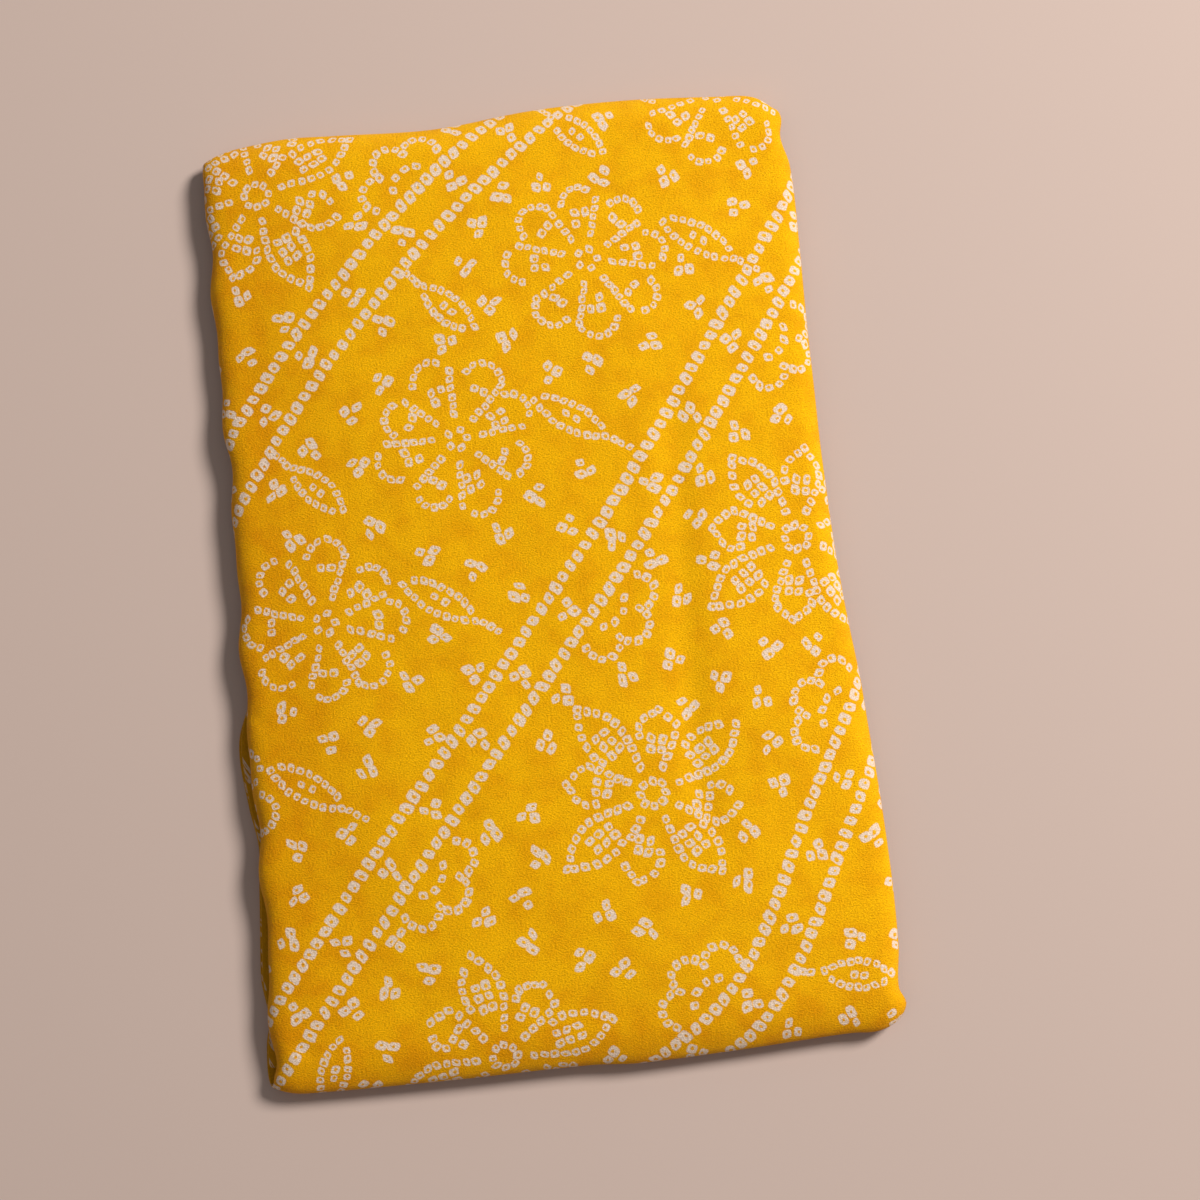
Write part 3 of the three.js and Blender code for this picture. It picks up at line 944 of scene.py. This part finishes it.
class Nodes:
    """Short calls for building one node tree."""

    def __init__(self, tree):
        self.tree = tree

    def add(self, kind, links=(), **settings):
        made = self.tree.nodes.new(kind)
        for name, value in settings.items():
            setattr(made, name, value)
        for socket, value in dict(links).items():
            self.feed(made.inputs[socket], value)
        return made

    def feed(self, socket, value):
        if isinstance(value, bpy.types.NodeSocket):
            self.tree.links.new(value, socket)
        else:
            socket.default_value = value

    def math(self, operation, a, b=0.0, c=0.0, clamp=False):
        links = {0: a, 1: b, 2: c}
        return self.add("ShaderNodeMath", links, operation=operation, use_clamp=clamp).outputs[0]

    def ramp(self, value, low, high, to_low=0.0, to_high=1.0):
        links = {"Value": value, "From Min": low, "From Max": high, "To Min": to_low, "To Max": to_high}
        made = self.add("ShaderNodeMapRange", links, interpolation_type="SMOOTHSTEP")
        return made.outputs["Result"]

    def mix(self, factor, a, b, blend="MIX"):
        made = self.add("ShaderNodeMix", data_type="RGBA", blend_type=blend)
        self.feed(made.inputs["Factor"], factor)
        for socket, value in ((made.inputs[6], a), (made.inputs[7], b)):
            self.feed(socket, (*value, 1.0) if isinstance(value, tuple) else value)
        return made.outputs[2]

    def noise(self, vector, scale, detail=2.0, roughness=0.5):
        links = {"Vector": vector, "Scale": scale, "Detail": detail, "Roughness": roughness}
        return self.add("ShaderNodeTexNoise", links).outputs["Fac"]

    def stretched(self, vector, scale):
        made = self.add("ShaderNodeVectorMath", {0: vector, 1: scale}, operation="MULTIPLY")
        return made.outputs[0]


def dot_group():
    """Node group: how much of a spot is covered by one printed dot."""
    tree = bpy.data.node_groups.new("printed dot", "ShaderNodeTree")
    tree.interface.new_socket("Place", in_out="INPUT", socket_type="NodeSocketVector")
    tree.interface.new_socket("Wobble", in_out="INPUT", socket_type="NodeSocketVector")
    tree.interface.new_socket("Cover", in_out="OUTPUT", socket_type="NodeSocketFloat")
    n = Nodes(tree)
    given = n.add("NodeGroupInput")
    parts = n.add("ShaderNodeSeparateXYZ", {0: given.outputs["Place"]})
    seed = parts.outputs["Z"]
    wobble = n.add("ShaderNodeSeparateXYZ", {0: given.outputs["Wobble"]})
    straight_x = n.math("ADD", parts.outputs["X"], wobble.outputs["X"])
    y = n.math("ADD", parts.outputs["Y"], wobble.outputs["Y"])

    def norm(a, b, power):
        far = n.math("POWER", n.math("ABSOLUTE", a), power)
        side = n.math("POWER", n.math("ABSOLUTE", b), power)
        return n.math("POWER", n.math("ADD", far, side), 1 / power)

    def share(factor, low, high):
        part = n.math("FRACT", n.math("MULTIPLY", seed, factor))
        return n.math("MULTIPLY_ADD", part, high - low, low)

    x = n.math("MULTIPLY_ADD", y, share(5.37, -0.28, 0.34), straight_x)
    body = n.ramp(norm(x, y, 3.6), 0.88, 1.06, 1.0, 0.0)
    hole_x = n.math("SUBTRACT", x, share(7.31, -0.26, 0.26))
    hole_y = n.math("SUBTRACT", y, share(13.7, -0.26, 0.26))
    large = n.math("GREATER_THAN", seed, 0.9995)
    hole_size = n.math("MULTIPLY_ADD", large, 0.13, share(29.3, 0.26, 0.4))
    hole_at = n.math("DIVIDE", norm(hole_x, hole_y, 1.7), hole_size)
    solid = n.ramp(hole_at, 0.8, 1.25, 0.04, 1.0)
    off = n.math("ABSOLUTE", n.math("SUBTRACT", n.math("ABSOLUTE", x), n.math("ABSOLUTE", y)))
    diagonal = n.ramp(off, 0.03, 0.17, 1.0, 0.0)
    faint = n.math("SUBTRACT", 1.0, n.math("MULTIPLY", diagonal, share(3.17, 0.0, 0.34)))
    cover = n.math("MULTIPLY", n.math("MULTIPLY", body, solid), faint)
    n.add("NodeGroupOutput", {"Cover": cover})
    return tree


def print_cover(n, flat):
    """Cover of all dots at a spot: the highest of the corner slots."""
    wobble = n.add("ShaderNodeTexNoise", {"Vector": flat, "Scale": 0.62, "Detail": 2.0})
    centred = n.add("ShaderNodeVectorMath", {0: wobble.outputs["Color"], 1: (0.5, 0.5, 0.5)},
                    operation="SUBTRACT")
    small = n.stretched(centred.outputs[0], (0.42, 0.42, 0.0))
    group = dot_group()
    cover = None
    for letter in "abcd":
        place = n.add("ShaderNodeAttribute", attribute_name=f"dot_{letter}")
        one = n.add("ShaderNodeGroup", node_tree=group)
        n.feed(one.inputs["Place"], place.outputs["Vector"])
        n.feed(one.inputs["Wobble"], small)
        cover = one.outputs[0] if cover is None else n.math("MAXIMUM", cover, one.outputs[0])
    return cover


def crepe_material():
    material = bpy.data.materials.new("printed_crepe")
    material.use_nodes = True
    tree = material.node_tree
    tree.nodes.clear()
    n = Nodes(tree)
    place = n.add("ShaderNodeAttribute", attribute_name="flat_place").outputs["Vector"]
    parts = n.add("ShaderNodeSeparateXYZ", {0: place})
    flat = n.stretched(place, (1.0, 1.0, 0.0))
    side = n.math("GREATER_THAN", parts.outputs["Z"], 0.75)
    grain = n.noise(n.stretched(flat, GRAIN["stretch"]), GRAIN["scale"], GRAIN["detail"], GRAIN["roughness"])
    shade_mottle = n.noise(flat, SHADE_MOTTLE["scale"], SHADE_MOTTLE["detail"], SHADE_MOTTLE["roughness"])
    strength = n.math("MULTIPLY_ADD", side, 1 - REVERSE_COVER, REVERSE_COVER)
    cover = n.math("MULTIPLY", print_cover(n, flat), strength)

    # Painted shade towards the left edge and the front, away from the key light
    left = n.ramp(parts.outputs["X"], *PAINTED_SHADE_LEFT[:2], 0.0, PAINTED_SHADE_LEFT[2])
    front = n.ramp(parts.outputs["Y"], *PAINTED_SHADE_FRONT[:2], 0.0, PAINTED_SHADE_FRONT[2])
    # Painted shade in soft patches
    painted_mottle_shade = n.ramp(shade_mottle, 0.35, 0.72, 0.0, SHADE_MOTTLE_DEPTH)
    # Painted shade: the soft patches together with the darkening at the left edge and the front
    painted_shade = n.math("ADD", painted_mottle_shade, n.math("MAXIMUM", left, front), clamp=True)
    pits = n.ramp(grain, 0.3, 0.48, PIT_DEPTH, 0.0)
    # The ground turns to the deeper orange by the painted shade and by the crepe's pits
    ground = n.mix(n.math("MAXIMUM", painted_shade, pits), GROUND, SHADE_AND_PIT_ORANGE)
    ground = n.mix(side, REVERSE, ground)
    thin = n.ramp(grain, 0.3, 0.7, 0.9, 1.0)
    colour = n.mix(n.math("MULTIPLY", cover, thin), ground, DOT_COLOUR)
    value = n.ramp(grain, 0.25, 0.75, *GRAIN_VALUE)
    shade = n.add("ShaderNodeCombineXYZ", {0: value, 1: value, 2: value}).outputs[0]
    colour = n.mix(1.0, colour, shade, blend="MULTIPLY")

    bump = n.add("ShaderNodeBump", {**GRAIN_BUMP, "Height": grain})
    shader = n.add("ShaderNodeBsdfPrincipled", {
        "Base Color": colour, "Normal": bump.outputs[0], "Roughness": n.ramp(cover, 0, 1, 0.6, 0.7),
    })
    shader.inputs["Sheen Weight"].default_value = 0.12
    shader.inputs["Sheen Roughness"].default_value = 0.4
    shader.inputs["Sheen Tint"].default_value = SHINE
    shader.inputs["Specular IOR Level"].default_value = 0.25
    shader.inputs["Specular Tint"].default_value = SHINE
    n.add("ShaderNodeOutputMaterial", {"Surface": shader.outputs[0]})
    return material


def floor_material():
    material = bpy.data.materials.new("pale floor")
    material.use_nodes = True
    n = Nodes(material.node_tree)
    n.tree.nodes.clear()
    shader = n.add("ShaderNodeBsdfPrincipled", {"Base Color": FLOOR_COLOUR, "Roughness": 0.85})
    n.add("ShaderNodeOutputMaterial", {"Surface": shader.outputs[0]})
    return material


# Camera, lights and floor
CAMERA_AT = (10.88, -165.89, 1100.0)
CAMERA_AXES = ((0.99452, -0.10453, 0.0), (0.10351, 0.98484, 0.13917), (-0.01455, -0.13841, 0.99027))
LENS, SENSOR = 72.0, 36.0
KEY = {"place": (2.1, 1.1, 2.0), "size": 1.0, "power": 126.0, "colour": (1.0, 0.98, 0.95)}
FILL = {"place": (-1.2, -0.8, 2.4), "size": 2.0, "power": 2.5, "colour": (0.97, 0.97, 1.0)}
SKY = {"colour": (0.97, 0.95, 0.94), "strength": 0.225}
FLOOR_HALF = 3.0
FLOOR_COLOUR = (0.535, 0.41, 0.355, 1)


def add_camera():
    data = bpy.data.cameras.new("camera")
    data.lens, data.sensor_width, data.sensor_fit = LENS, SENSOR, "HORIZONTAL"
    camera = bpy.data.objects.new("camera", data)
    turn = Matrix(CAMERA_AXES).transposed().to_4x4()
    camera.matrix_world = Matrix.Translation(Vector(CAMERA_AT) * MM) @ turn
    bpy.context.scene.collection.objects.link(camera)
    bpy.context.scene.camera = camera


def add_area(name, place, size, power, colour):
    data = bpy.data.lights.new(name, "AREA")
    data.shape, data.size, data.energy, data.color = "DISK", size, power, colour
    light = bpy.data.objects.new(name, data)
    light.location = place
    light.rotation_euler = (-Vector(place)).to_track_quat("-Z", "Y").to_euler()
    bpy.context.scene.collection.objects.link(light)


def add_world(colour, strength):
    world = bpy.data.worlds.new("world")
    world.use_nodes = True
    background = world.node_tree.nodes["Background"]
    background.inputs["Color"].default_value = (*colour, 1)
    background.inputs["Strength"].default_value = strength
    bpy.context.scene.world = world


def add_floor():
    mesh = bpy.data.meshes.new("floor")
    half = FLOOR_HALF
    corners = [(-half, -half, 0), (half, -half, 0), (half, half, 0), (-half, half, 0)]
    mesh.from_pydata(corners, [], [(0, 1, 2, 3)])
    mesh.materials.append(floor_material())
    floor = bpy.data.objects.new("floor", mesh)
    bpy.context.scene.collection.objects.link(floor)
    return floor


add_camera()
add_area("key", **KEY)
add_area("fill", **FILL)
add_world(**SKY)
bpy.context.scene.view_settings.view_transform = "Standard"
floor = add_floor()

cloth = cloth_object()
cloth.data.materials.append(crepe_material())
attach(cloth, "root")
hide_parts("folded_cloth")
